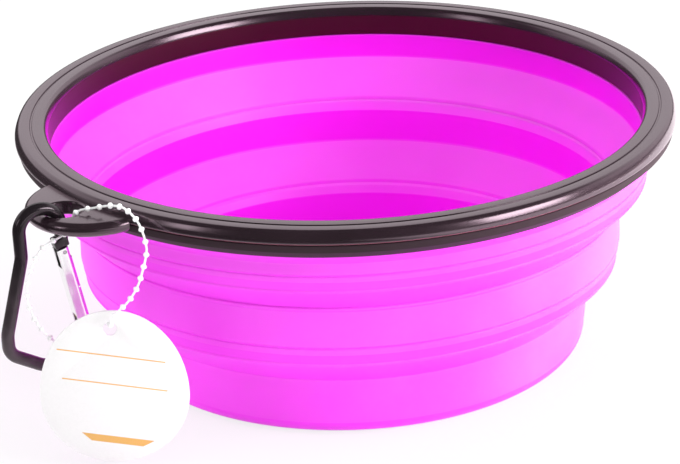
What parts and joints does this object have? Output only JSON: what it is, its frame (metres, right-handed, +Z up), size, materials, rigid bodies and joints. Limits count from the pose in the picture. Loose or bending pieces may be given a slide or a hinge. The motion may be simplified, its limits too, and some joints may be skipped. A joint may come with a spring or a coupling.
{
  "type": "collapsible bowl",
  "caption": "Collapsible pink silicone bowl with stepped folding walls, a black clamped rim with a hanging lug, a small carabiner and a hang tag.",
  "frame": {"origin": "centre of the base's underside, on the table", "axes": "+Z up along the bowl's axis, -X towards the hanging lug"},
  "size_m": [0.206, 0.18, 0.0706],
  "materials": {
    "rim_plastic": "satin moulded plastic",
    "silicone": "smooth matt silicone, slightly translucent",
    "carabiner_paint": "glossy black coating",
    "gate_metal": "polished",
    "pin_steel": "plain steel",
    "plunger_brass": "plain brass",
    "tie_plastic": "white moulded thread",
    "tag_card": "coated white card"
  },
  "bodies": {
    "rim": {"rim_top_ring": "rim_plastic", "rim_clamp_ring": "rim_plastic", "upper_wall": "silicone", "upper_fold": "silicone", "tag_tie": "tie_plastic", "tie_lock": "tie_plastic"},
    "middle": {"middle_wall": "silicone", "lower_fold": "silicone"},
    "base": {"base_cup": "silicone"},
    "carabiner": {"carabiner_body": "carabiner_paint", "gate_pivot_pin": "pin_steel"},
    "gate": {"carabiner_gate": "gate_metal", "gate_latch_pin": "pin_steel", "gate_plunger": "plunger_brass", "gate_spring": "pin_steel"},
    "tag": {"hang_tag": "tag_card"}
  },
  "joints": [
    {"name": "upper_collapse", "type": "slide", "parent": "rim", "child": "middle", "axis": [0, 0, 1], "range_m": [0, 0.021], "deforming": ["upper_fold"]},
    {"name": "lower_collapse", "type": "slide", "parent": "middle", "child": "base", "axis": [0, 0, 1], "range_m": [0, 0.021], "deforming": ["lower_fold"]},
    {"name": "carabiner_swing", "type": "hinge", "parent": "rim", "child": "carabiner", "pos_m": [-0.10365, 0, 0.06325], "axis": [0.2419, 0.9703, 0], "range_deg": [-8, 95]},
    {"name": "gate_open", "type": "hinge", "parent": "carabiner", "child": "gate", "pos_m": [-0.09395, -0.00242, 0.03465], "axis": [-0.2419, -0.9703, 0], "range_deg": [0, 16], "stiffness_Nm_per_rad": 0.02, "springref_deg": -17.19},
    {"name": "tag_swing", "type": "hinge", "parent": "rim", "child": "tag", "pos_m": [-0.097, -0.0175, 0.0405], "axis": [-0.6561, -0.7547, 0], "range_deg": [-25, 25]}
  ]
}
